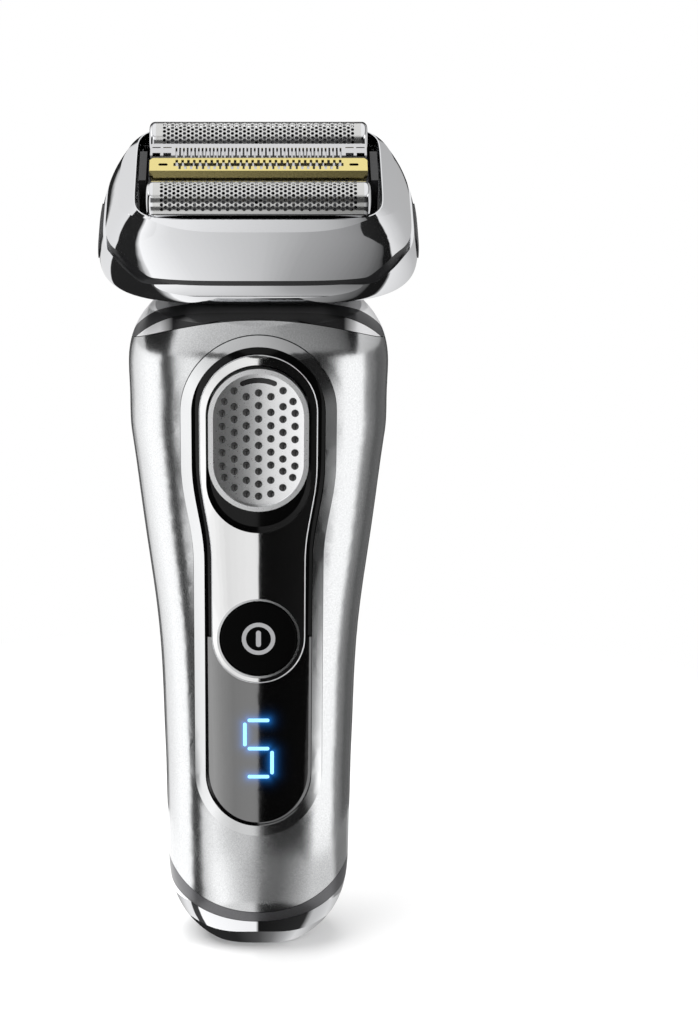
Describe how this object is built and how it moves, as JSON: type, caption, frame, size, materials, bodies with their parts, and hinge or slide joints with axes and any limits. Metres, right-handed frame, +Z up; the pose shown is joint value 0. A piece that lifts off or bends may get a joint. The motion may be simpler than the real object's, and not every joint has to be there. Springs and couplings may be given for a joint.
{
  "type": "electric foil shaver",
  "caption": "Electric foil shaver with a pivoting head, floating foils and trimmers, lift-off cassette, sliding head lock, push button and rear pop-up trimmer.",
  "frame": {"origin": "centre of the flat foot", "axes": "+Z up along the handle, -Y the side with the controls, +X to the right of someone who looks at the controls"},
  "size_m": [0.0632, 0.0378, 0.1701],
  "materials": {
    "shell_satin": "satin silver lacquer",
    "grip_rubber": "matt black soft grip",
    "contact_metal": "plated contact",
    "collar_dark": "satin dark grey",
    "cap_chrome": "polished",
    "inlet_black": "matt",
    "bezel_metal": "satin",
    "panel_black": "piano black",
    "strip_black": "piano black",
    "window_black": "tinted",
    "ring_metal": "satin",
    "button_black": "gloss",
    "slider_black": "gloss",
    "nub_rubber": "satin",
    "inner_plastic": "moulded",
    "screw_steel": "zinc plated",
    "battery_wrap": "shrink wrap",
    "board_green": "solder mask",
    "switch_dark": "moulded",
    "display_blue": "dark blue display",
    "trimmer_plastic": "satin",
    "blade_steel": "ground",
    "yoke_plastic": "satin",
    "head_chrome": "polished",
    "band_black": "satin black",
    "release_black": "satin black",
    "core_iron": "laminated",
    "coil_copper": "enamelled copper wire",
    "bridge_white": "moulded",
    "cassette_black": "satin",
    "foil_nickel": "nickel foil",
    "frame_silver": "bright",
    "lift_gold": "gold coloured coating",
    "comb_silver": "ground",
    "spring_steel": "spring"
  },
  "bodies": {
    "handle": {"front_shell": "shell_satin", "rear_shell": "shell_satin", "rear_grip": "grip_rubber", "station_contacts": "contact_metal", "shoulder_collar": "collar_dark", "bottom_band": "collar_dark", "bottom_cap": "cap_chrome", "power_inlet": "inlet_black", "inlet_pins": "contact_metal", "panel_bezel": "bezel_metal", "control_panel": "panel_black", "control_strip": "strip_black", "display_window": "window_black", "button_ring": "ring_metal", "chassis": "inner_plastic", "chassis_screws": "screw_steel", "battery_cell": "battery_wrap", "circuit_board": "board_green", "push_switch": "switch_dark", "display_module": "display_blue", "head_yoke": "yoke_plastic", "yoke_screws": "screw_steel", "pivot_pins": "screw_steel"},
    "lock": {"lock_slider": "slider_black", "lock_nubs": "nub_rubber", "lock_carriage": "inner_plastic"},
    "button": {"power_button": "button_black"},
    "rear_trimmer": {"trimmer_slide": "trimmer_plastic", "trimmer_comb": "blade_steel"},
    "rear_trimmer_cutter": {"trimmer_cutter": "blade_steel"},
    "head": {"head_frame": "head_chrome", "head_band": "band_black", "head_base": "head_chrome", "drive_deck": "inner_plastic", "deck_screws": "screw_steel", "motor_core": "core_iron", "motor_coil": "coil_copper"},
    "release_left": {"release_button_left": "release_black"},
    "release_right": {"release_button_right": "release_black"},
    "foil_drive": {"foil_drive_bridge": "bridge_white"},
    "trimmer_drive": {"trimmer_drive_bridge": "bridge_white"},
    "cassette": {"cassette_frame": "cassette_black", "front_foil_springs": "spring_steel", "lift_trimmer_springs": "spring_steel", "comb_trimmer_springs": "spring_steel", "rear_foil_springs": "spring_steel"},
    "front_foil_unit": {"front_foil": "foil_nickel", "front_foil_frame": "frame_silver"},
    "rear_foil_unit": {"rear_foil": "foil_nickel", "rear_foil_frame": "frame_silver"},
    "lift_unit": {"lift_trimmer_guard": "lift_gold"},
    "comb_unit": {"comb_trimmer_guard": "comb_silver"},
    "front_cutter_block": {"front_cutter": "blade_steel"},
    "rear_cutter_block": {"rear_cutter": "blade_steel"},
    "lift_blade_block": {"lift_trimmer_blade": "blade_steel"},
    "comb_blade_block": {"comb_trimmer_blade": "blade_steel"}
  },
  "joints": [
    {"name": "lock_slide", "type": "slide", "parent": "handle", "child": "lock", "axis": [0, 0.0712, -0.9975], "range_m": [0, 0.0042]},
    {"name": "button_press", "type": "slide", "parent": "handle", "child": "button", "axis": [0, 1, 0], "range_m": [0, 0.0006], "stiffness_N_per_m": 900, "springref_m": -0.0004},
    {"name": "trimmer_pop_up", "type": "slide", "parent": "handle", "child": "rear_trimmer", "axis": [0, 0, 1], "range_m": [0, 0.01]},
    {"name": "rear_cutter_swing", "type": "slide", "parent": "rear_trimmer", "child": "rear_trimmer_cutter", "axis": [1, 0, 0], "range_m": [-0.0008, 0.0008]},
    {"name": "head_pivot", "type": "hinge", "parent": "handle", "child": "head", "pos_m": [0, 0.0015, 0.1451], "axis": [1, 0, 0], "range_deg": [-35, 5]},
    {"name": "left_release_press", "type": "slide", "parent": "head", "child": "release_left", "axis": [1, 0, 0], "range_m": [0, 0.0012], "stiffness_N_per_m": 800, "springref_m": -0.0006},
    {"name": "right_release_press", "type": "slide", "parent": "head", "child": "release_right", "axis": [-1, 0, 0], "range_m": [0, 0.0012], "stiffness_N_per_m": 800, "springref_m": -0.0006},
    {"name": "foil_drive_swing", "type": "slide", "parent": "head", "child": "foil_drive", "axis": [1, 0, 0], "range_m": [-0.0012, 0.0012], "stiffness_N_per_m": 600},
    {"name": "trimmer_drive_swing", "type": "slide", "parent": "head", "child": "trimmer_drive", "axis": [1, 0, 0], "range_m": [-0.0012, 0.0012]},
    {"name": "cassette_lift", "type": "slide", "parent": "head", "child": "cassette", "axis": [0, -0.5, 0.866], "range_m": [0, 0.02]},
    {"name": "front_foil_float", "type": "slide", "parent": "cassette", "child": "front_foil_unit", "axis": [0, 0.5, -0.866], "range_m": [0, 0.0015], "stiffness_N_per_m": 600, "springref_m": -0.0008, "deforming": ["front_foil_springs"]},
    {"name": "rear_foil_float", "type": "slide", "parent": "cassette", "child": "rear_foil_unit", "axis": [0, 0.5, -0.866], "range_m": [0, 0.0015], "stiffness_N_per_m": 600, "springref_m": -0.0008, "deforming": ["rear_foil_springs"]},
    {"name": "lift_trimmer_float", "type": "slide", "parent": "cassette", "child": "lift_unit", "axis": [0, 0.5, -0.866], "range_m": [0, 0.0015], "stiffness_N_per_m": 600, "springref_m": -0.0008, "deforming": ["lift_trimmer_springs"]},
    {"name": "comb_trimmer_float", "type": "slide", "parent": "cassette", "child": "comb_unit", "axis": [0, 0.5, -0.866], "range_m": [0, 0.0015], "stiffness_N_per_m": 600, "springref_m": -0.0008, "deforming": ["comb_trimmer_springs"]},
    {"name": "front_cutter_swing", "type": "slide", "parent": "front_foil_unit", "child": "front_cutter_block", "axis": [1, 0, 0], "range_m": [-0.0012, 0.0012]},
    {"name": "rear_cutter_block_swing", "type": "slide", "parent": "rear_foil_unit", "child": "rear_cutter_block", "axis": [1, 0, 0], "range_m": [-0.0012, 0.0012]},
    {"name": "lift_blade_swing", "type": "slide", "parent": "lift_unit", "child": "lift_blade_block", "axis": [1, 0, 0], "range_m": [-0.0012, 0.0012]},
    {"name": "comb_blade_swing", "type": "slide", "parent": "comb_unit", "child": "comb_blade_block", "axis": [1, 0, 0], "range_m": [-0.0012, 0.0012]}
  ],
  "couplings": [
    {"joint": "trimmer_drive_swing", "follows": "foil_drive_swing", "ratio": -1},
    {"joint": "front_cutter_swing", "follows": "foil_drive_swing", "ratio": 1},
    {"joint": "rear_cutter_block_swing", "follows": "foil_drive_swing", "ratio": 1},
    {"joint": "lift_blade_swing", "follows": "foil_drive_swing", "ratio": -1},
    {"joint": "comb_blade_swing", "follows": "foil_drive_swing", "ratio": -1},
    {"joint": "rear_cutter_swing", "follows": "foil_drive_swing", "ratio": 0.6533}
  ]
}
